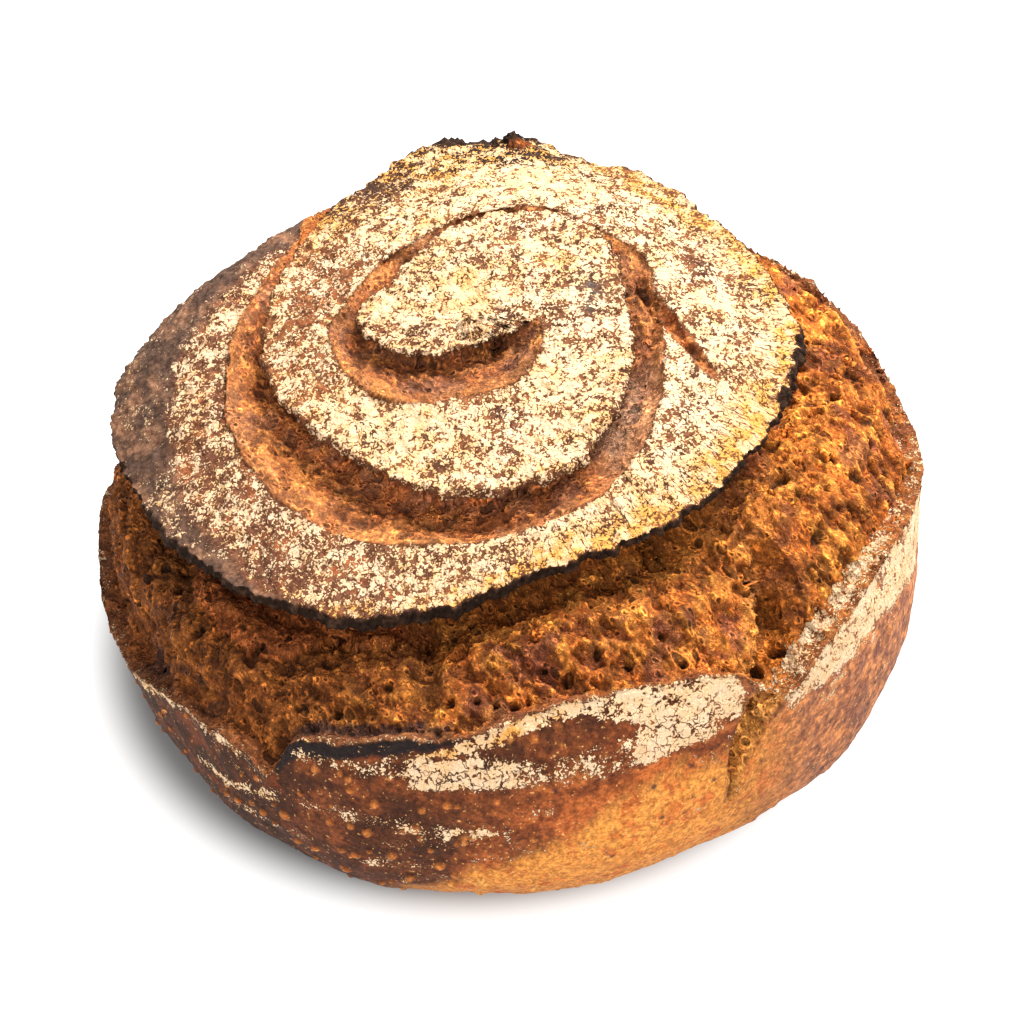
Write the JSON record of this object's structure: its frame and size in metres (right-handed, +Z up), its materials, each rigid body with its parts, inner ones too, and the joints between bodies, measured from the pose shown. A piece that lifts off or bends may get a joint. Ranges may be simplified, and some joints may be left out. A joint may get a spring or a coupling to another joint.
{
  "type": "bread loaf",
  "caption": "Round boule of spelt bread with a spiral score, a floury domed crust with raised lips, a torn burst of crumb round its shoulder and a flat base.",
  "frame": {"origin": "centre of the bounding box, at the flat base the loaf rests on", "axes": "+Z up; +X to the right and +Y away, seen from the side where the lower crust is split in two"},
  "size_m": [0.2446, 0.2384, 0.131],
  "materials": {
    "crust": "baked bread crust: browned, floury and torn, matte with a slight gloss on the lower crust"
  },
  "bodies": {
    "root": {"loaf": "crust"}
  },
  "joints": []
}
